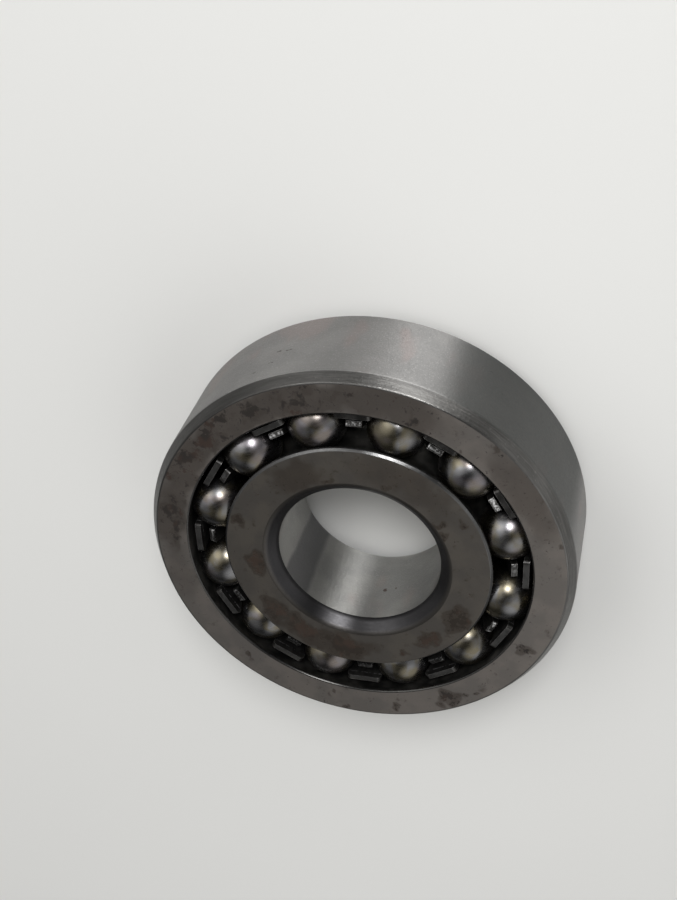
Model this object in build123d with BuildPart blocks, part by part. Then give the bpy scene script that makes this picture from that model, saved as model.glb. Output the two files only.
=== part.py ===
from build123d import *
import math
import os

# Self-aligning ball bearing: two staggered rows of balls run in two grooves of the
# inner ring and in one spherical raceway of the outer ring, so the inner ring, the
# balls and the cage can tilt together about the bearing's centre.
# Millimetres. The origin is that centre, +Z is the bearing's axis, and the bearing
# lies on its side face.

# Boundary sizes
outer_diameter = 52.0
bore_diameter = 20.0
ring_width = 15.0

# Balls: the circle of their centres runs pitch_shift outside the middle between bore
# and rim, and row_spacing is from one row's centre plane to the other's
ball_diameter = 7.144
balls_per_row = 12
pitch_shift = 0.25
row_spacing = 7.6

# Raceways: the groove is a little rounder than the ball
race_clearance = 0.04
groove_ease = 0.14

# Outer ring corners
rim_chamfer_radial = 0.9
rim_chamfer_axial = 1.4
rim_chamfer_round = 0.5
race_edge_break = 0.12

# Inner ring: side lands beside the grooves and a lower rib between them, each set
# in from the circle of the balls' centres
land_depth = 1.9
rib_depth = 2.35
bore_chamfer = 1.25
bore_chamfer_round = 0.9
land_chamfer = 0.25

# Cage: one piece of pressed sheet
sheet_thickness = 0.7
pocket_clearance = 0.15
bend_radius = 0.75
race_gap = 0.85
rib_gap = 0.5
tongue_width = 4.4
tongue_setback = 1.1
tongue_corner = 0.5
tab_root_width = 2.8
tab_tip_width = 1.7
tab_setback = 1.9
tab_gap = 0.75
tab_corner = 0.25

# Places that follow from the sizes above
outer_radius = outer_diameter / 2
bore_radius = bore_diameter / 2
half_width = ring_width / 2
ball_radius = ball_diameter / 2
pitch_radius = (bore_radius + outer_radius) / 2 + pitch_shift
land_radius = pitch_radius - land_depth
rib_radius = pitch_radius - rib_depth
row_height = row_spacing / 2
ball_step = 360 / balls_per_row
half_step = ball_step / 2

# The contact line of every ball runs through the bearing's centre
contact_angle = math.atan2(row_height, pitch_radius)
ball_distance = math.hypot(pitch_radius, row_height)
race_radius = ball_distance + ball_radius + race_clearance

# The groove's centre lies on the contact line, past the ball's centre
groove_radius = ball_radius + groove_ease
groove_shift = groove_radius - ball_radius - race_clearance
groove_centre_radius = pitch_radius + groove_shift * math.cos(contact_angle)
groove_centre_height = row_height + groove_shift * math.sin(contact_angle)

# The cage's tongues stand clear of the raceway at their tips
tongue_reach = half_width - tongue_setback
tongue_outer_radius = math.sqrt(race_radius**2 - tongue_reach**2) - race_gap
tongue_middle_radius = tongue_outer_radius - sheet_thickness / 2
web_outer_radius = tongue_middle_radius - bend_radius

# The tabs rise from the web's inner edge and lean out between the balls
tab_reach = half_width - tab_setback
tab_tip_radius = tongue_outer_radius - 1.5 * sheet_thickness - tab_gap
tab_bend_radius = rib_radius + rib_gap + sheet_thickness / 2
web_inner_radius = tab_bend_radius + bend_radius
web_middle_radius = (web_inner_radius + web_outer_radius) / 2


def row_centres(side, first_angle):
    """Ball centres of one row: side is +1 for the front row and -1 for the back."""
    centres = []
    for index in range(balls_per_row):
        angle = math.radians(first_angle + index * ball_step)
        x = pitch_radius * math.cos(angle)
        y = pitch_radius * math.sin(angle)
        centres.append((x, y, side * row_height))
    return centres


# The front row has a ball on +X, and the back row sits half a step round
front_centres = row_centres(1, 0)
back_centres = row_centres(-1, half_step)

os.makedirs("parts", exist_ok=True)

# Outer ring: chamfered rim, flat side faces and the spherical raceway
with BuildPart() as outer_ring:
    with BuildSketch(Plane.XZ) as outer_section:
        with BuildLine():
            Polyline(
                (pitch_radius, half_width),
                (outer_radius - rim_chamfer_radial, half_width),
                (outer_radius, half_width - rim_chamfer_axial),
                (outer_radius, rim_chamfer_axial - half_width),
                (outer_radius - rim_chamfer_radial, -half_width),
                (pitch_radius, -half_width),
                close=True,
            )
        make_face()
        fillet(outer_section.vertices().sort_by(Axis.X)[2:], radius=rim_chamfer_round)
        Circle(race_radius, mode=Mode.SUBTRACT)
    revolve(axis=Axis.Z)
    side_faces = outer_ring.faces().filter_by(Axis.Z)
    race_mouths = side_faces.edges().group_by(SortBy.RADIUS)[0]
    chamfer(race_mouths, length=race_edge_break)

outer_ring.part.label = "outer_ring"
export_step(outer_ring.part, "parts/outer_ring.step")

# Inner ring: bore with rounded chamfers, two ball grooves and the rib between them
with BuildPart() as inner_ring:
    with BuildSketch(Plane.XZ) as inner_section:
        with BuildLine():
            Polyline(
                (bore_radius, half_width - bore_chamfer),
                (bore_radius + bore_chamfer, half_width),
                (land_radius - land_chamfer, half_width),
                (land_radius, half_width - land_chamfer),
                (land_radius, groove_centre_height),
                (rib_radius, groove_centre_height),
                (rib_radius, -groove_centre_height),
                (land_radius, -groove_centre_height),
                (land_radius, land_chamfer - half_width),
                (land_radius - land_chamfer, -half_width),
                (bore_radius + bore_chamfer, -half_width),
                (bore_radius, bore_chamfer - half_width),
                close=True,
            )
        make_face()
        fillet(inner_section.vertices().sort_by(Axis.X)[:4], radius=bore_chamfer_round)
        with Locations(
            (groove_centre_radius, groove_centre_height),
            (groove_centre_radius, -groove_centre_height),
        ):
            Circle(groove_radius, mode=Mode.SUBTRACT)
    revolve(axis=Axis.Z)

inner_ring.part.label = "inner_ring"
export_step(inner_ring.part, "parts/inner_ring.step")

# One outer tongue of the cage: the sheet runs out along the web and turns up
with BuildPart() as tongue:
    with BuildSketch(Plane.XZ):
        with BuildLine():
            FilletPolyline(
                (web_middle_radius, 0),
                (tongue_middle_radius, 0),
                (tongue_middle_radius, tongue_reach),
                radius=bend_radius,
            )
        trace(line_width=sheet_thickness)
    extrude(amount=tongue_width / 2, both=True)
    tongue_corners = tongue.edges().filter_by(Axis.X).group_by(Axis.Z)[-1]
    fillet(tongue_corners, radius=tongue_corner)

# One inner tab: the sheet turns up at the web's inner edge and leans out,
# and its sides draw in towards the tip
with BuildPart() as tab:
    with BuildSketch(Plane.XZ):
        with BuildLine():
            FilletPolyline(
                (web_middle_radius, 0),
                (tab_bend_radius, 0),
                (tab_tip_radius, tab_reach),
                radius=bend_radius,
            )
        trace(line_width=sheet_thickness)
    extrude(amount=tab_root_width / 2, both=True)
    with BuildSketch(Plane.YZ):
        with BuildLine():
            Polyline(
                (-tab_root_width / 2, -sheet_thickness),
                (tab_root_width / 2, -sheet_thickness),
                (tab_root_width / 2, 0),
                (tab_tip_width / 2, half_width),
                (-tab_tip_width / 2, half_width),
                (-tab_root_width / 2, 0),
                close=True,
            )
        make_face()
    extrude(amount=outer_radius, mode=Mode.INTERSECT)
    tab_end = tab.faces().sort_by(Axis.Z)[-1]
    fillet(tab_end.edges().sort_by(SortBy.LENGTH)[:2], radius=tab_corner)

# Cage: a flat ring between the rows, tongues and tabs bent up to the front and,
# half a step round, down to the back, and a round seat for every ball
with BuildPart() as cage:
    with BuildSketch(Plane.XY.offset(-sheet_thickness / 2)):
        Circle(web_outer_radius)
        Circle(web_inner_radius, mode=Mode.SUBTRACT)
    extrude(amount=sheet_thickness)
    with PolarLocations(0, balls_per_row, start_angle=half_step):
        add(tongue.part)
        add(tab.part)
    with PolarLocations(0, balls_per_row):
        add(tongue.part.mirror(Plane.XY))
        add(tab.part.mirror(Plane.XY))
    with Locations(*front_centres, *back_centres):
        Sphere(ball_radius + pocket_clearance, mode=Mode.SUBTRACT)

cage.part.label = "cage"
export_step(cage.part, "parts/cage.step")

# Balls: one solid each, numbered round the ring
for row_name, centres in (("front", front_centres), ("back", back_centres)):
    for number, centre in enumerate(centres, start=1):
        with BuildPart() as ball:
            with Locations(centre):
                Sphere(ball_radius)
        ball.part.label = f"ball_{row_name}_{number:02d}"
        export_step(ball.part, f"parts/{ball.part.label}.step")
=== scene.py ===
import math
import random

import bmesh
import bpy
from mathutils import Euler, Matrix, Vector, noise


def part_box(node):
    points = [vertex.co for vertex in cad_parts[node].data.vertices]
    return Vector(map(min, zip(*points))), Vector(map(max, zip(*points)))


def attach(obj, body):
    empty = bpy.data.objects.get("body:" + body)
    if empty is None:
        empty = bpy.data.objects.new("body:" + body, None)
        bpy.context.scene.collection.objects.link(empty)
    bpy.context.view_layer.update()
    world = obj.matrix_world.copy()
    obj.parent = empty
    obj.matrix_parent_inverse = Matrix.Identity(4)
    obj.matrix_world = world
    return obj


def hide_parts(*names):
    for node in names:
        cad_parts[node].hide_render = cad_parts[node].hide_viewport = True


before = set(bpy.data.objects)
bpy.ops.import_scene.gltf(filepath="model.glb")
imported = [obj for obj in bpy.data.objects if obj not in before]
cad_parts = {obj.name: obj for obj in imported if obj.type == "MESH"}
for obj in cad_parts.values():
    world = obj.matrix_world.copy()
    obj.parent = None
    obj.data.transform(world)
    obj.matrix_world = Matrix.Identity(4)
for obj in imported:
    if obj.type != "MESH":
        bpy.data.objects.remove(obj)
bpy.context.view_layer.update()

# Millimetres for the shapes, in the part's own frame: +Z is the bearing's axis
MM = 0.001
HALF_WIDTH = 7.5
OUTER_RADIUS = 26.0
BORE_RADIUS = 10.0
BALL_RADIUS = 3.572
PITCH_RADIUS = 18.25
ROW_HEIGHT = 3.8
RACE_CLEARANCE = 0.04
GROOVE_EASE = 0.14
LAND_RADIUS = 16.35
RIB_RADIUS = 15.9

# Corners of the rings
RIM_CHAMFER_RADIAL = 0.9
RIM_CHAMFER_AXIAL = 1.4
RIM_ROUND = 0.5
RIM_FACE_ROUND = 0.3
MOUTH_ROUND = 0.35
MOUTH_DEPTH = 0.6
BORE_CHAMFER = 1.25
BORE_ROUND = 0.9
LAND_CHAMFER = 0.25
LAND_FACE_ROUND = 0.05
LAND_ROUND = 0.04

# How far the cage's tongues and tabs reach from its middle
TONGUE_REACH = 6.4
TAB_REACH = 5.6

# Places that follow from the sizes above
RACE_RADIUS = math.hypot(PITCH_RADIUS, ROW_HEIGHT) + BALL_RADIUS + RACE_CLEARANCE
GROOVE_RADIUS = BALL_RADIUS + GROOVE_EASE
GROOVE_SHIFT = GROOVE_EASE - RACE_CLEARANCE
CONTACT_ANGLE = math.atan2(ROW_HEIGHT, PITCH_RADIUS)
GROOVE_CENTRE = (
    PITCH_RADIUS + GROOVE_SHIFT * math.cos(CONTACT_ANGLE),
    ROW_HEIGHT + GROOVE_SHIFT * math.sin(CONTACT_ANGLE),
)

# Fineness of the meshes: steps round the axis, along the raceway, a groove and a rounded
# corner, and cuts across each face of a ball's cube
OUTER_STEPS = 480
INNER_STEPS = 400
RACE_STEPS = 24
GROOVE_STEPS = 22
CORNER_STEPS = 6
BALL_CUTS = 19

# Distance from a side's end to the point that keeps the side flat when shaded, and between
# the points of a side that carries stains and of any other
EDGE_SUPPORT = 0.05
STAINED_SPACING = 0.3
PLAIN_SPACING = 1.2

# The camera that the outlines of both rings in the photo give, in metres
CAMERA_PLACE = (0.08791252, -0.05519015, 0.12385019)
CAMERA_LENS = 52.044
CAMERA_AXES = (
    (-0.2954275504, 0.8195815256, 0.4909263539),
    (-0.9262372402, -0.1197917268, -0.3573996607),
    (-0.2341092440, -0.5602999774, 0.7945167069),
)


def towards(azimuth, elevation):
    """Unit vector in a direction given in degrees."""
    a = math.radians(azimuth)
    e = math.radians(elevation)
    return Vector((math.cos(a) * math.cos(e), math.sin(a) * math.cos(e), math.sin(e)))


def cosine(degrees):
    return math.cos(math.radians(degrees))


def make_camera():
    data = bpy.data.cameras.new("camera")
    data.lens = CAMERA_LENS
    data.clip_start = 0.005
    data.clip_end = 20
    camera = bpy.data.objects.new("camera", data)
    bpy.context.scene.collection.objects.link(camera)
    camera.matrix_world = Matrix.Translation(CAMERA_PLACE) @ Matrix(CAMERA_AXES).to_4x4()
    bpy.context.scene.camera = camera


class Nodes:
    """Short calls that build a node tree."""

    def __init__(self, tree):
        self.tree = tree

    def add(self, kind, **settings):
        node = self.tree.nodes.new(kind)
        for key, value in settings.items():
            setattr(node, key, value)
        return node

    def feed(self, socket, value):
        """Links a socket to another one, or sets its value."""
        if isinstance(value, bpy.types.NodeSocket):
            self.tree.links.new(value, socket)
        elif socket.type == "RGBA" and len(value) == 3:
            socket.default_value = (*value, 1)
        else:
            socket.default_value = value

    def math(self, operation, first, second=0.0, clamp=False):
        node = self.add("ShaderNodeMath", operation=operation, use_clamp=clamp)
        self.feed(node.inputs[0], first)
        self.feed(node.inputs[1], second)
        return node.outputs[0]

    def dot(self, first, second):
        node = self.add("ShaderNodeVectorMath", operation="DOT_PRODUCT")
        self.feed(node.inputs[0], first)
        self.feed(node.inputs[1], second)
        return node.outputs["Value"]

    def between(self, value, low, high, out_low=0.0, out_high=1.0):
        """Maps a value's range low to high smoothly onto another."""
        node = self.add("ShaderNodeMapRange", interpolation_type="SMOOTHSTEP")
        self.feed(node.inputs["Value"], value)
        node.inputs["From Min"].default_value = low
        node.inputs["From Max"].default_value = high
        node.inputs["To Min"].default_value = out_low
        node.inputs["To Max"].default_value = out_high
        return node.outputs["Result"]


class Finish(Nodes):
    """One procedural material; lengths in it are millimetres."""

    def __init__(self, name):
        self.material = bpy.data.materials.new(name)
        self.material.use_nodes = True
        super().__init__(self.material.node_tree)
        self.tree.nodes.clear()
        self.shader = self.add("ShaderNodeBsdfPrincipled")
        output = self.add("ShaderNodeOutputMaterial")
        self.tree.links.new(self.shader.outputs["BSDF"], output.inputs["Surface"])
        coords = self.add("ShaderNodeTexCoord")
        scale = self.add("ShaderNodeVectorMath", operation="SCALE")
        self.feed(scale.inputs[0], coords.outputs["Object"])
        scale.inputs["Scale"].default_value = 1 / MM
        self.place = scale.outputs[0]

    def stretched(self, x, y, z):
        """The place with each direction multiplied by its own factor."""
        node = self.add("ShaderNodeVectorMath", operation="MULTIPLY")
        self.feed(node.inputs[0], self.place)
        node.inputs[1].default_value = (x, y, z)
        return node.outputs[0]

    def radius(self):
        """Distance from the axis."""
        node = self.add("ShaderNodeVectorMath", operation="LENGTH")
        self.feed(node.inputs[0], self.stretched(1, 1, 0))
        return node.outputs["Value"]

    def facing(self, azimuth):
        """1 where the place lies at this azimuth round the axis, less away from it."""
        flat = self.add("ShaderNodeVectorMath", operation="NORMALIZE")
        self.feed(flat.inputs[0], self.stretched(1, 1, 0))
        return self.dot(flat.outputs[0], towards(azimuth, 0))

    def rings(self, across, along):
        """A vector that changes fast from ring to ring and slowly round them."""
        split = self.add("ShaderNodeSeparateXYZ")
        self.feed(split.inputs[0], self.place)
        join = self.add("ShaderNodeCombineXYZ")
        self.feed(join.inputs[0], self.math("MULTIPLY", split.outputs[0], along))
        self.feed(join.inputs[1], self.math("MULTIPLY", split.outputs[1], along))
        self.feed(join.inputs[2], self.math("MULTIPLY", self.radius(), across))
        return join.outputs[0]

    def noise(self, vector, scale, detail=3.0, roughness=0.55, distortion=0.0):
        node = self.add("ShaderNodeTexNoise")
        self.feed(node.inputs["Vector"], vector)
        node.inputs["Scale"].default_value = scale
        node.inputs["Detail"].default_value = detail
        node.inputs["Roughness"].default_value = roughness
        node.inputs["Distortion"].default_value = distortion
        return node.outputs["Fac"]

    def frayed(self, value, pattern, amount):
        """A value that a noise pattern moves up and down."""
        shift = self.math("MULTIPLY", self.math("SUBTRACT", pattern, 0.5), amount)
        return self.math("ADD", value, shift)

    def mix(self, factor, first, second):
        """Blends two colours."""
        node = self.add("ShaderNodeMix", data_type="RGBA")
        self.feed(node.inputs[0], factor)
        self.feed(node.inputs[6], first)
        self.feed(node.inputs[7], second)
        return node.outputs[2]

    def attribute(self, name):
        return self.add("ShaderNodeAttribute", attribute_name=name).outputs["Fac"]

    def edges(self, reach):
        """1 where the surface turns sharply and 0 away from it."""
        bevel = self.add("ShaderNodeBevel", samples=6)
        bevel.inputs["Radius"].default_value = reach * MM
        flat = self.add("ShaderNodeNewGeometry")
        return self.between(self.dot(bevel.outputs[0], flat.outputs["Normal"]), 0.8, 0.98, 1.0, 0.0)

    def bump(self, height, depth, under=None):
        """Raises the surface by a height map."""
        node = self.add("ShaderNodeBump")
        node.inputs["Distance"].default_value = depth * MM
        node.inputs["Strength"].default_value = 1.0
        self.feed(node.inputs["Height"], height)
        if under is not None:
            self.feed(node.inputs["Normal"], under)
        return node.outputs[0]

    def grain(self, amount):
        """Stretches highlights across the grinding lines that run round the axis."""
        tangent = self.add("ShaderNodeTangent", direction_type="RADIAL", axis="Z")
        self.feed(self.shader.inputs["Tangent"], tangent.outputs[0])
        self.shader.inputs["Anisotropic"].default_value = amount
        self.shader.inputs["Anisotropic Rotation"].default_value = 0.25

    def done(self, **values):
        """Feeds the shader's inputs and gives the material."""
        for key, value in values.items():
            self.feed(self.shader.inputs[key.replace("_", " ")], value)
        return self.material


# Materials


def rim_steel(name, light, dark, pink, speck_colour, painted_shade_side, painted_shade_reach, painted_shade_colour):
    """Satin ground cylinder: fine lines round it, soft mottling, a few specks, and painted shade:
    a darker band, standing in for dark reflections, that reaches the given degrees to either side
    of the given azimuth."""
    n = Finish(name)
    cloud = n.noise(n.stretched(0.16, 0.16, 0.22), 1.0, 3.0)
    colour = n.mix(n.between(cloud, 0.38, 0.64), dark, light)
    tint = n.noise(n.stretched(0.21, 0.21, 0.1), 1.0, 2.0)
    colour = n.mix(n.between(tint, 0.56, 0.7, 0.0, 0.6), colour, pink)
    lines = n.noise(n.stretched(0.12, 0.12, 9.0), 1.0, 4.0, 0.7)
    colour = n.mix(n.between(lines, 0.35, 0.75, 0.0, 0.3), colour, dark)
    sparkle = n.noise(n.stretched(4.5, 4.5, 6.0), 1.0, 2.0, 0.7)
    colour = n.mix(n.between(sparkle, 0.55, 0.75, 0.0, 0.45), colour, (0.5, 0.49, 0.48))
    # Painted shade: a darker band round one azimuth stands in for dark reflections there
    film = n.frayed(n.facing(painted_shade_side), cloud, 0.03)
    film = n.between(film, cosine(painted_shade_reach), cosine(painted_shade_reach * 2 / 3), 0.0, 0.8)
    colour = n.mix(film, colour, painted_shade_colour)
    specks = n.noise(n.stretched(0.9, 0.9, 1.6), 1.0, 4.0, 0.6, 0.4)
    mark = n.frayed(n.attribute("stain"), n.noise(n.place, 2.2, 3.0, 0.6), 2.0)
    speck = n.math("MAXIMUM", n.between(specks, 0.72, 0.76), n.between(mark, 0.5, 0.8))
    colour = n.mix(n.math("MULTIPLY", speck, 0.75), colour, speck_colour)
    peel = n.noise(n.stretched(2.4, 2.4, 3.4), 1.0, 4.0, 0.75)
    normal = n.bump(lines, 0.006)
    normal = n.bump(peel, 0.035, under=normal)
    rough = n.between(peel, 0.3, 0.7, 0.4, 0.48)
    n.grain(0.95)
    return n.done(Base_Color=colour, Metallic=1.0, Roughness=rough, Normal=normal)


def side_steel(name, base, warm, haze, stain_colour, rust):
    """Flat ground side face, dark with dried oil, hazy and blotched brown where it is marked; under
    the broad faint marks the haze is painted shade.
    """
    n = Finish(name)
    cloud = n.noise(n.stretched(0.25, 0.25, 0.25), 1.0, 3.0)
    colour = n.mix(n.between(cloud, 0.4, 0.62), base, warm)
    lines = n.noise(n.rings(5.0, 0.15), 1.0, 3.0, 0.6)
    colour = n.mix(n.between(lines, 0.3, 0.75, 0.0, 0.22), colour, base)
    mark = n.attribute("stain")
    ragged = n.frayed(mark, n.noise(n.place, 0.9, 4.0, 0.65, 0.3), 2.0)
    # Haze over the marks: over stains it is dried oil, and over the broad faint marks it is painted
    # shade
    film = n.math("MULTIPLY", n.between(ragged, 0.15, 0.6), 0.75)
    film = n.math("MAXIMUM", film, n.between(mark, 0.02, 0.24, 0.0, 0.6))
    colour = n.mix(film, colour, haze)
    blotched = n.frayed(mark, n.noise(n.place, 1.4, 5.0, 0.7, 0.3), 3.8)
    freckles = n.between(n.noise(n.place, 1.7, 3.0, 0.6), 0.74, 0.77)
    stain = n.math("MAXIMUM", n.between(blotched, 0.5, 0.85), n.math("MULTIPLY", freckles, 0.6))
    dirt = n.mix(n.between(n.noise(n.place, 0.33, 2.0), 0.5, 0.62), stain_colour, rust)
    colour = n.mix(n.math("MULTIPLY", stain, 0.9), colour, dirt)
    fine = n.noise(n.place, 6.0, 3.0, 0.7)
    normal = n.bump(lines, 0.003)
    normal = n.bump(fine, 0.003, under=normal)
    rough = n.math("ADD", n.between(fine, 0.3, 0.7, 0.4, 0.48), n.math("MULTIPLY", stain, 0.12))
    metal = n.between(stain, 0.0, 1.0, 0.9, 0.25)
    n.shader.inputs["Specular IOR Level"].default_value = 0.25
    return n.done(Base_Color=colour, Metallic=metal, Roughness=rough, Normal=normal)


def corner_steel(name, base, light, rough, depth, painted_shade_side=None, face_colour=None):
    """Turned corner: fine rings spread its highlight across them, with small bright nicks.

    The rim's corner has painted shade, a darker colour, on the side that faces the given azimuth,
    and the bore's corner runs softly into face_colour."""
    n = Finish(name)
    lines = n.noise(n.rings(7.0, 0.2), 1.0, 4.0, 0.75)
    nicks = n.noise(n.rings(5.0, 2.2), 1.0, 4.0, 0.7)
    colour = n.mix(n.between(lines, 0.35, 0.7, 0.0, 0.45), base, light)
    colour = n.mix(n.between(nicks, 0.6, 0.72, 0.0, 0.7), colour, light)
    if painted_shade_side is not None:
        # Painted shade: the corner is darker on the side that faces the given azimuth
        film = n.between(n.facing(painted_shade_side), 0.78, 0.95, 0.0, 0.6)
        colour = n.mix(film, colour, (0.03, 0.029, 0.028))
    if face_colour is not None:
        blend = n.between(n.radius(), BORE_RADIUS + 0.85, BORE_RADIUS + 1.6)
        colour = n.mix(blend, colour, face_colour)
    normal = n.bump(lines, depth * 0.3)
    normal = n.bump(nicks, depth, under=normal)
    n.grain(0.85)
    rough = n.between(nicks, 0.3, 0.7, rough, rough - 0.08)
    return n.done(Base_Color=colour, Metallic=1.0, Roughness=rough, Normal=normal)


def race_steel(name):
    """Honed raceway under a film of oil."""
    n = Finish(name)
    film = n.noise(n.place, 0.5, 2.0)
    colour = n.mix(n.between(film, 0.35, 0.65), (0.24, 0.24, 0.23), (0.34, 0.33, 0.31))
    rough = n.between(film, 0.3, 0.7, 0.3, 0.4)
    normal = n.bump(n.noise(n.stretched(0.1, 0.1, 8.0), 1.0, 3.0, 0.6), 0.002)
    return n.done(Base_Color=colour, Metallic=1.0, Roughness=rough, Normal=normal)


def ball_steel():
    """Polished ball with a thin uneven film of oil and the finest wear marks."""
    n = Finish("ball_steel")
    film = n.noise(n.place, 0.45, 2.0, 0.5, 0.6)
    colour = n.mix(n.between(film, 0.35, 0.62), (0.15, 0.15, 0.155), (0.13, 0.116, 0.085))
    violet = n.noise(n.stretched(0.33, 0.33, 0.5), 1.0, 1.0)
    colour = n.mix(n.between(violet, 0.52, 0.66, 0.0, 0.45), colour, (0.15, 0.13, 0.145))
    smear = n.noise(n.stretched(2.2, 0.7, 0.7), 1.0, 3.0, 0.6)
    rough = n.between(smear, 0.35, 0.7, 0.24, 0.32)
    normal = n.bump(n.noise(n.place, 5.0, 3.0, 0.7), 0.0006)
    return n.done(Base_Color=colour, Metallic=1.0, Roughness=rough, Normal=normal)


def cage_sheet():
    """Pressed sheet, dark with oil: its edges are rubbed bright, its tongues' ends are worn lighter
    except on the side that faces azimuth -45, where they stay dark, and the ends of its inner tabs
    are torn bright."""
    n = Finish("cage_sheet")
    split = n.add("ShaderNodeSeparateXYZ")
    n.feed(split.inputs[0], n.place)
    height = n.math("ABSOLUTE", split.outputs[2])
    cloud = n.noise(n.place, 0.9, 3.0)
    colour = n.mix(n.between(cloud, 0.35, 0.65), (0.035, 0.034, 0.033), (0.07, 0.068, 0.066))
    worn = n.between(height, TONGUE_REACH - 0.05, TONGUE_REACH - 0.01)
    worn = n.math("MULTIPLY", worn, n.between(cloud, 0.3, 0.6, 0.5, 1.0))
    # The tongues' ends keep the dark colour on the side that faces azimuth -45
    worn = n.math("MULTIPLY", worn, n.between(n.facing(-45), 0.6, 0.85, 1.0, 0.0))
    colour = n.mix(worn, colour, (0.095, 0.094, 0.092))
    end = n.between(height, TAB_REACH - 0.12, TAB_REACH - 0.02)
    past = n.between(height, TAB_REACH + 0.02, TAB_REACH + 0.1)
    end = n.math("SUBTRACT", end, past, clamp=True)
    which = n.between(n.noise(n.place, 0.11, 1.0), 0.42, 0.58)
    which = n.math("ADD", n.math("MULTIPLY", which, 0.8), 0.2)
    tear = n.noise(n.stretched(2.6, 2.6, 2.6), 1.0, 3.0, 0.65)
    torn = n.math("MULTIPLY", n.between(tear, 0.44, 0.62), which)
    colour = n.mix(n.math("MULTIPLY", end, torn), colour, (0.62, 0.62, 0.62))
    rub = n.math("MULTIPLY", n.edges(0.1), n.between(cloud, 0.3, 0.6, 0.35, 1.0))
    colour = n.mix(rub, colour, (0.34, 0.335, 0.33))
    fine = n.noise(n.place, 3.0, 2.0, 0.5)
    rough = n.between(fine, 0.3, 0.7, 0.28, 0.38)
    return n.done(Base_Color=colour, Metallic=0.9, Roughness=rough, Normal=n.bump(fine, 0.003))


# Shapes


def arc_points(centre, radius, start, stop, steps):
    points = []
    for index in range(steps + 1):
        angle = math.radians(start + (stop - start) * index / steps)
        x = centre[0] + radius * math.cos(angle)
        y = centre[1] + radius * math.sin(angle)
        points.append((x, y))
    return points


def rounded_loop(corners):
    """Closed outline from corners, each given as r, z, rounding, the finish of its arc and
    the finish of the side after it; every point has the finish of what follows it."""
    loop = []
    count = len(corners)
    for index, (r, z, rounding, arc_finish, finish) in enumerate(corners):
        here = Vector((r, z))
        if not rounding:
            loop.append((here, finish))
            continue
        before = Vector(corners[index - 1][:2]) - here
        after = Vector(corners[(index + 1) % count][:2]) - here
        half = before.angle(after) / 2
        # Just under half a side, so that the roundings at its two ends never meet
        reach = min(rounding / math.tan(half), before.length * 0.48, after.length * 0.48)
        inwards = (before.normalized() + after.normalized()).normalized()
        centre = here + inwards * (reach * math.tan(half) / math.sin(half))
        start = here + before.normalized() * reach - centre
        stop = here + after.normalized() * reach - centre
        turn = start.angle_signed(stop)
        for step in range(CORNER_STEPS + 1):
            spoke = start.copy()
            spoke.rotate(Matrix.Rotation(-turn * step / CORNER_STEPS, 2))
            loop.append((centre + spoke, finish if step == CORNER_STEPS else arc_finish))
    return loop


def supported_loop(loop):
    """Adds points to the long sides: one close to each end and evenly spaced ones between.
    The steps of a race's arc are short enough to get none."""
    full = []
    for index, (point, finish) in enumerate(loop):
        side = loop[(index + 1) % len(loop)][0] - point
        full.append((point, finish))
        shortest = 1.0 if finish == "race" else 6 * EDGE_SUPPORT
        if side.length > shortest:
            stained = finish in ("side", "rim", "bore")
            spacing = STAINED_SPACING if stained else PLAIN_SPACING
            pieces = max(1, round(side.length / spacing))
            inset = EDGE_SUPPORT / side.length
            marks = [inset] + [piece / pieces for piece in range(1, pieces)] + [1 - inset]
            full.extend((point + side * mark, finish) for mark in marks)
    return full


def lathe(name, loop, steps, materials):
    """Turns a closed outline round Z; every outline point names the finish of the side after it."""
    verts = []
    faces = []
    finishes = []
    names = list(materials)
    count = len(loop)
    for step in range(steps):
        angle = 2 * math.pi * step / steps
        for (radius, height), finish in loop:
            x = radius * math.cos(angle) * MM
            y = radius * math.sin(angle) * MM
            verts.append((x, y, height * MM))
    for step in range(steps):
        this = step * count
        following = (step + 1) % steps * count
        for index in range(count):
            after = (index + 1) % count
            faces.append((this + index, following + index, following + after, this + after))
            finishes.append(names.index(loop[index][1]))
    mesh = bpy.data.meshes.new(name)
    mesh.from_pydata(verts, [], faces)
    for material in materials.values():
        mesh.materials.append(material)
    mesh.polygons.foreach_set("material_index", finishes)
    mesh.polygons.foreach_set("use_smooth", [True] * len(faces))
    mesh.update()
    face_outwards(mesh)
    obj = bpy.data.objects.new(name, mesh)
    bpy.context.scene.collection.objects.link(obj)
    return obj


def face_outwards(mesh):
    work = bmesh.new()
    work.from_mesh(mesh)
    bmesh.ops.recalc_face_normals(work, faces=work.faces)
    work.to_mesh(mesh)
    work.free()


def polar(point):
    return math.degrees(math.atan2(point.y, point.x)), math.hypot(point.x, point.y)


def arc_between(start, stop, radius):
    """Length of the shorter arc from one angle in degrees to another."""
    return math.radians((stop - start + 180) % 360 - 180) * radius


def soft_spot(along, across, strength):
    """A spot with a flat top and a soft edge, from offsets in half lengths and half widths."""
    return strength * math.exp(-((along * along + across * across) ** 2))


def uneven_shift(point):
    """A smooth random shift in the plane, the same in every run."""
    return Vector((noise.noise(point), noise.noise(point + Vector((31.7, 5.3, 11.9))), 0))


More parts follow.
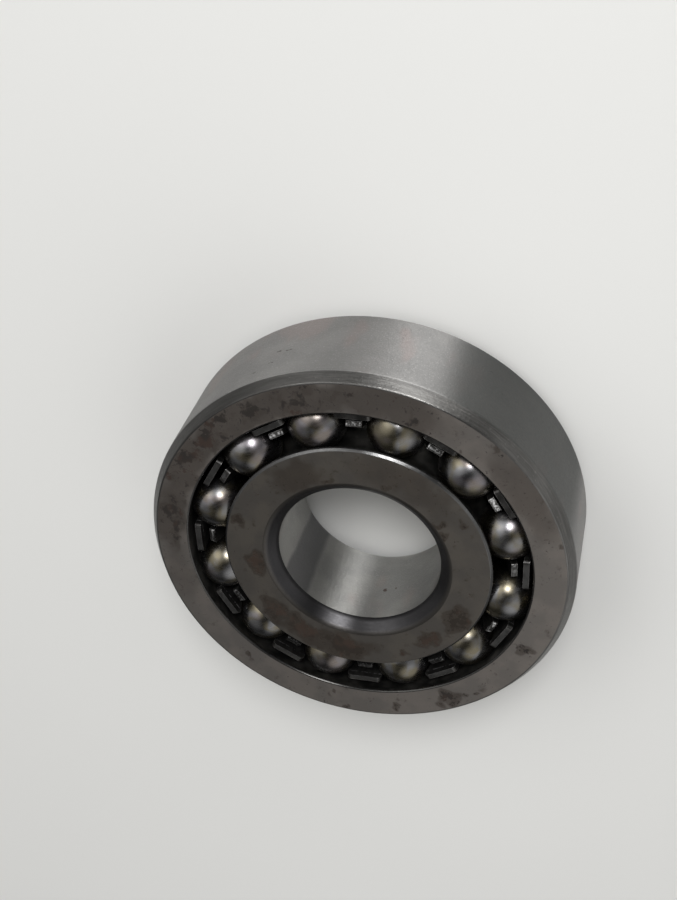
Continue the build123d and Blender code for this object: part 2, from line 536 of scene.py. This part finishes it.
def mark_stains_and_painted_shade(obj, spots, wall_spots, wall_radius):
    """Writes the stain mask from the soft spots on the faces and those on the rim or bore; on the
    outer ring's front face the mask also holds painted shade.
    """
    mesh = obj.data
    layer = mesh.attributes.new("stain", "FLOAT", "POINT")
    values = []
    for vertex in mesh.vertices:
        point = vertex.co / MM
        total = 0.0
        angle, radius = polar(point)
        if abs(radius - wall_radius) < 0.2:
            for at, height, length, width, strength in wall_spots:
                along = arc_between(at, angle, radius) / length
                total += soft_spot(along, (point.z - height) / width, strength)
        # On the faces a broad shift and a fine one draw the spots out of shape
        shift = uneven_shift(point * 0.45) * 1.1 + uneven_shift(point * 1.3) * 0.6
        angle, radius = polar(point + shift)
        for at, spot_radius, length, width, strength, side in spots:
            if side * point.z > 0:
                along = arc_between(at, angle, radius) / length
                total += soft_spot(along, (radius - spot_radius) / width, strength)
        values.append(total)
    layer.data.foreach_set("value", values)


def outer_ring_outline():
    mouth = math.degrees(math.asin((HALF_WIDTH - MOUTH_DEPTH) / RACE_RADIUS))
    edge = math.sqrt(RACE_RADIUS**2 - HALF_WIDTH**2)
    chamfer_in = OUTER_RADIUS - RIM_CHAMFER_RADIAL
    chamfer_down = HALF_WIDTH - RIM_CHAMFER_AXIAL
    corners = [
        (edge, HALF_WIDTH, MOUTH_ROUND, "mouth", "side"),
        (chamfer_in, HALF_WIDTH, RIM_FACE_ROUND, "corner", "corner"),
        (OUTER_RADIUS, chamfer_down, RIM_ROUND, "rim", "rim"),
        (OUTER_RADIUS, -chamfer_down, RIM_ROUND, "rim", "corner"),
        (chamfer_in, -HALF_WIDTH, RIM_FACE_ROUND, "corner", "side"),
        (edge, -HALF_WIDTH, MOUTH_ROUND, "mouth", "race"),
    ]
    race = arc_points((0, 0), RACE_RADIUS, -mouth, mouth, RACE_STEPS)
    corners += [(r, z, 0.0, "race", "race") for r, z in race]
    return supported_loop(rounded_loop(corners))


def inner_ring_outline():
    groove_r = GROOVE_CENTRE[0]
    top = math.degrees(math.acos((LAND_RADIUS - groove_r) / GROOVE_RADIUS))
    low = 360 - math.degrees(math.acos((RIB_RADIUS - groove_r) / GROOVE_RADIUS))
    corners = [
        (BORE_RADIUS, HALF_WIDTH - BORE_CHAMFER, BORE_ROUND, "corner", "corner"),
        (BORE_RADIUS + BORE_CHAMFER, HALF_WIDTH, BORE_ROUND, "corner", "side"),
        (LAND_RADIUS - LAND_CHAMFER, HALF_WIDTH, LAND_FACE_ROUND, "edge", "edge"),
        (LAND_RADIUS, HALF_WIDTH - LAND_CHAMFER, LAND_ROUND, "edge", "edge"),
    ]
    groove = arc_points(GROOVE_CENTRE, GROOVE_RADIUS, top, low, GROOVE_STEPS)
    corners += [(r, z, 0.0, "race", "race") for r, z in groove]
    back = []
    for index in reversed(range(len(corners))):
        r, z, rounding, arc_finish = corners[index][:4]
        back.append((r, -z, rounding, arc_finish, corners[index - 1][4]))
    back[-1] = (*back[-1][:3], "bore", "bore")
    return supported_loop(rounded_loop(corners + back))


def make_ball(name, node, material, rng):
    """A ball in the place of its node, from a cube's net blown up to a sphere."""
    low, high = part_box(node)
    turn = Euler([rng.uniform(0, 2 * math.pi) for axis in range(3)]).to_matrix()
    work = bmesh.new()
    bmesh.ops.create_cube(work, size=2.0)
    bmesh.ops.subdivide_edges(work, edges=work.edges, cuts=BALL_CUTS, use_grid_fill=True)
    for vertex in work.verts:
        x, y, z = (math.tan(value * math.pi / 4) for value in vertex.co)
        vertex.co = turn @ Vector((x, y, z)).normalized() * BALL_RADIUS * MM + (low + high) / 2
    mesh = bpy.data.meshes.new(name)
    work.to_mesh(mesh)
    work.free()
    mesh.polygons.foreach_set("use_smooth", [True] * len(mesh.polygons))
    mesh.materials.append(material)
    ball = bpy.data.objects.new(name, mesh)
    bpy.context.scene.collection.objects.link(ball)
    return ball


# Marks on the faces, mostly of dried oil and rust: angle, radius, half length, half width,
# strength and side, which is 1 for the front and -1 for the back
OUTER_STAINS_AND_PAINTED_SHADE = [
    # The first seven marks, broad and faint, darken the front face from azimuth -72 to 88 by a
    # haze: painted shade, not stains
    (-72, 23.6, 7.5, 3.0, 0.2, 1),
    (-25, 23.4, 8.0, 3.0, 0.25, 1),
    (3, 23.3, 6.0, 2.4, 0.35, 1),
    (24, 23.4, 4.5, 2.4, 0.4, 1),
    (44, 23.4, 4.5, 2.4, 0.35, 1),
    (66, 23.3, 4.5, 2.2, 0.3, 1),
    (88, 23.4, 5.0, 2.6, 0.12, 1),
    (2.5, 22.4, 2.0, 1.1, 0.45, 1),
    (14.5, 23.8, 1.2, 0.8, 0.8, 1),
    (24, 24.2, 0.6, 0.5, 0.9, 1),
    (28, 24.0, 0.7, 0.6, 1.0, 1),
    (27.5, 22.3, 0.4, 0.3, 0.7, 1),
    (33, 23.4, 1.2, 0.8, 1.0, 1),
    (42.5, 23.9, 1.3, 1.1, 0.9, 1),
    (46.5, 21.6, 0.4, 0.3, 0.6, 1),
    (50.5, 24.8, 0.5, 0.4, 0.9, 1),
    (61.5, 23.3, 1.5, 0.6, 0.6, 1),
    (63, 22.2, 2.0, 0.6, 0.4, 1),
    (71.5, 22.7, 2.2, 0.6, 0.8, 1),
    (125, 23.0, 0.6, 0.7, 0.7, 1),
    (155, 22.7, 0.3, 0.4, 0.6, 1),
    (159, 24.7, 0.3, 0.4, 0.7, 1),
    (176, 23.6, 0.7, 1.0, 0.8, 1),
    (-166, 23.5, 1.4, 1.1, 0.95, 1),
    (-161, 23.5, 0.4, 0.4, 0.8, 1),
    (-156, 23.7, 0.4, 0.4, 0.7, 1),
    (-133, 23.2, 1.1, 0.8, 0.75, 1),
    (-132, 21.6, 0.4, 0.3, 0.7, 1),
    (-91, 24.5, 0.3, 0.3, 0.5, 1),
    (-57.5, 24.5, 0.3, 0.3, 0.6, 1),
    (-51, 21.7, 0.3, 0.3, 0.8, 1),
    (-34, 22.0, 0.7, 0.9, 0.8, 1),
    (-15, 23.0, 0.4, 0.4, 0.5, 1),
    (35, 23.0, 2.5, 1.2, 0.6, -1),
    (110, 23.8, 1.0, 0.7, 0.8, -1),
    (170, 22.6, 3.0, 1.0, 0.5, -1),
    (-120, 23.5, 1.2, 0.9, 0.8, -1),
    (-60, 22.8, 2.0, 0.8, 0.5, -1),
]
INNER_STAINS = [
    (-40, 14.2, 8.0, 2.4, 0.16, 1),
    (15, 13.6, 3.5, 2.4, 0.25, 1),
    (150, 14.0, 5.5, 1.9, 0.4, 1),
    (0.5, 11.7, 0.4, 0.3, 0.6, 1),
    (58, 14.4, 0.5, 0.6, 0.95, 1),
    (84, 12.7, 1.7, 1.0, 0.9, 1),
    (114, 14.2, 1.9, 1.4, 0.8, 1),
    (131, 13.9, 2.0, 1.5, 0.75, 1),
    (156, 14.2, 2.2, 1.3, 0.85, 1),
    (-172, 14.8, 0.5, 0.5, 0.7, 1),
    (-157, 13.9, 1.7, 1.2, 0.9, 1),
    (-135, 14.1, 2.0, 1.3, 0.9, 1),
    (-77, 11.9, 0.5, 0.4, 0.7, 1),
    (-75, 15.0, 0.6, 0.6, 0.9, 1),
    (-69.5, 12.6, 0.5, 0.6, 0.85, 1),
    (-36, 12.6, 0.3, 0.3, 0.5, 1),
    (60, 13.6, 2.0, 1.2, 0.5, -1),
    (-150, 14.2, 1.0, 0.7, 0.8, -1),
]

# Specks on the rim and in the bore: angle, height, half length, half width and strength
RIM_STAINS = [
    (4.0, 0.6, 0.5, 0.22, 0.9),
    (7.0, 0.2, 0.4, 0.22, 0.9),
    (8.0, 2.7, 0.4, 0.28, 0.9),
    (12.0, 3.9, 0.4, 0.3, 0.8),
    (14.0, 5.2, 0.5, 0.3, 0.6),
    (-48.0, -3.0, 0.4, 0.3, 0.6),
    (95.0, 1.0, 0.8, 0.5, 0.8),
    (150.0, -2.0, 0.5, 0.8, 0.7),
    (-150.0, 2.5, 0.7, 0.4, 0.8),
]
BORE_STAINS = [
    (175.5, 0.6, 0.35, 0.4, 1.0),
    (-176.2, 0.4, 0.2, 0.3, 0.9),
    (20.0, -1.5, 0.4, 0.5, 0.9),
]


def make_outer_ring():
    outer = lathe("outer_ring_steel", outer_ring_outline(), OUTER_STEPS, {
        "rim": rim_steel(
            "outer_rim",
            light=(0.27, 0.265, 0.26),
            dark=(0.235, 0.232, 0.228),
            pink=(0.3, 0.255, 0.245),
            speck_colour=(0.05, 0.045, 0.04),
            # Painted shade on the rim round azimuth -64
            painted_shade_side=-64,
            painted_shade_reach=30,
            painted_shade_colour=(0.095, 0.098, 0.095),
        ),
        "corner": corner_steel(
            "outer_corner",
            base=(0.1, 0.098, 0.095),
            light=(0.23, 0.226, 0.218),
            rough=0.36,
            depth=0.024,
            # Painted shade on the corner's side round azimuth 30
            painted_shade_side=30,
        ),
        "side": side_steel(
            "outer_side",
            base=(0.2, 0.185, 0.172),
            warm=(0.24, 0.218, 0.2),
            haze=(0.075, 0.062, 0.053),
            stain_colour=(0.012, 0.01, 0.009),
            rust=(0.028, 0.017, 0.013),
        ),
        "mouth": corner_steel(
            "race_mouth",
            base=(0.06, 0.059, 0.057),
            light=(0.1, 0.098, 0.095),
            rough=0.34,
            depth=0.006,
        ),
        "race": race_steel("outer_race"),
    })
    mark_stains_and_painted_shade(outer, OUTER_STAINS_AND_PAINTED_SHADE, RIM_STAINS, OUTER_RADIUS)
    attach(outer, "outer_ring")
    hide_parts("outer_ring")


def make_inner_ring():
    inner = lathe("inner_ring_steel", inner_ring_outline(), INNER_STEPS, {
        "bore": rim_steel(
            "inner_bore",
            light=(0.37, 0.365, 0.35),
            dark=(0.3, 0.3, 0.29),
            pink=(0.38, 0.33, 0.31),
            speck_colour=(0.09, 0.05, 0.045),
            # Painted shade in the bore round azimuth 109
            painted_shade_side=109,
            painted_shade_reach=14,
            painted_shade_colour=(0.15, 0.15, 0.155),
        ),
        "corner": corner_steel(
            "inner_corner",
            base=(0.048, 0.047, 0.049),
            light=(0.062, 0.061, 0.064),
            rough=0.42,
            depth=0.006,
            face_colour=(0.085, 0.079, 0.072),
        ),
        "side": side_steel(
            "inner_side",
            base=(0.118, 0.109, 0.099),
            warm=(0.142, 0.129, 0.113),
            haze=(0.065, 0.052, 0.042),
            stain_colour=(0.016, 0.012, 0.009),
            rust=(0.03, 0.019, 0.014),
        ),
        "edge": corner_steel(
            "inner_edge",
            base=(0.1, 0.1, 0.1),
            light=(0.2, 0.2, 0.2),
            rough=0.36,
            depth=0.01,
        ),
        "race": race_steel("inner_race"),
    })
    mark_stains_and_painted_shade(inner, INNER_STAINS, BORE_STAINS, BORE_RADIUS)
    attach(inner, "inner_ring")
    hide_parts("inner_ring")


def make_balls():
    rng = random.Random(4)
    ball_material = ball_steel()
    for node in sorted(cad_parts):
        if node.startswith("ball_"):
            ball = make_ball(f"{node}_polished", node, ball_material, rng)
            body = "pivot_ball" if node == "ball_front_01" else node
            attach(ball, body)
            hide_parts(node)


def paint_cage():
    """The cage is the solid from model.glb, with a better material."""
    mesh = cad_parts["cage"].data
    mesh.materials.clear()
    mesh.materials.append(cage_sheet())


# Floor, lamps and room

# Half the floor's side and the gap that keeps it off the part, in metres
FLOOR_HALF = 3.0
FLOOR_GAP = 0.00002

# Soft lights on the walls of the room: azimuth, elevation, reach in degrees, radiance
GLOWS = [
    (-30, 38, 26, 0.4),
    (-36, 14, 26, 1.6),
    (-88, 12, 26, 0.7),
    (262, 48, 26, 0.6),
    (20, 38, 24, 2.0),
    (38, 46, 34, 1.3),
    (36, 14, 16, 0.9),
    (75, 20, 30, 0.5),
    (100, 45, 34, 0.3),
    (205, 45, 38, 1.2),
    (240, 16, 32, 0.3),
]

# Radiance of the walls and the ceiling, and the elevations where one turns into the other
WALL = 0.2
CEILING = 0.05
WALL_TOP = 4
CEILING_EDGE = 18


def make_floor():
    size = FLOOR_HALF
    z = -HALF_WIDTH * MM - FLOOR_GAP
    corners = [(-size, -size, z), (size, -size, z), (size, size, z), (-size, size, z)]
    mesh = bpy.data.meshes.new("floor")
    mesh.from_pydata(corners, [], [(0, 1, 2, 3)])
    floor = bpy.data.objects.new("floor", mesh)
    bpy.context.scene.collection.objects.link(floor)
    n = Finish("floor_matt")
    cloud = n.noise(n.place, 0.01, 2.0)
    colour = n.mix(cloud, (0.64, 0.64, 0.627), (0.68, 0.68, 0.667))
    mesh.materials.append(n.done(Base_Color=colour, Roughness=0.75))


def make_key(azimuth, elevation, distance, diameter, radiance):
    """A round lamp that faces the part; lengths are in metres."""
    data = bpy.data.lights.new("key", "AREA")
    data.shape = "DISK"
    data.size = diameter
    data.energy = radiance * math.pi * math.pi * diameter * diameter / 4
    lamp = bpy.data.objects.new("key", data)
    bpy.context.scene.collection.objects.link(lamp)
    lamp.location = towards(azimuth, elevation) * distance
    lamp.rotation_euler = lamp.location.to_track_quat("Z", "Y").to_euler()


def make_room():
    """Pale walls up to the height of the horizon's haze, a dim ceiling and the soft lights."""
    world = bpy.data.worlds.new("room")
    bpy.context.scene.world = world
    world.use_nodes = True
    n = Nodes(world.node_tree)
    view = n.add("ShaderNodeTexCoord").outputs["Generated"]
    split = n.add("ShaderNodeSeparateXYZ")
    n.feed(split.inputs[0], view)
    low = math.sin(math.radians(WALL_TOP))
    high = math.sin(math.radians(CEILING_EDGE))
    total = n.between(split.outputs[2], low, high, WALL, CEILING)
    for azimuth, elevation, reach, radiance in GLOWS:
        near = n.dot(view, towards(azimuth, elevation))
        total = n.math("ADD", total, n.between(near, cosine(reach), 1.0, 0.0, radiance))
    background = world.node_tree.nodes["Background"]
    n.feed(background.inputs["Color"], (1, 0.995, 0.98))
    n.feed(background.inputs["Strength"], total)


make_camera()
make_room()
make_key(azimuth=-28, elevation=41, distance=0.5, diameter=0.17, radiance=24)
make_floor()
make_outer_ring()
make_inner_ring()
make_balls()
paint_cage()
bpy.context.scene.view_settings.view_transform = "Standard"
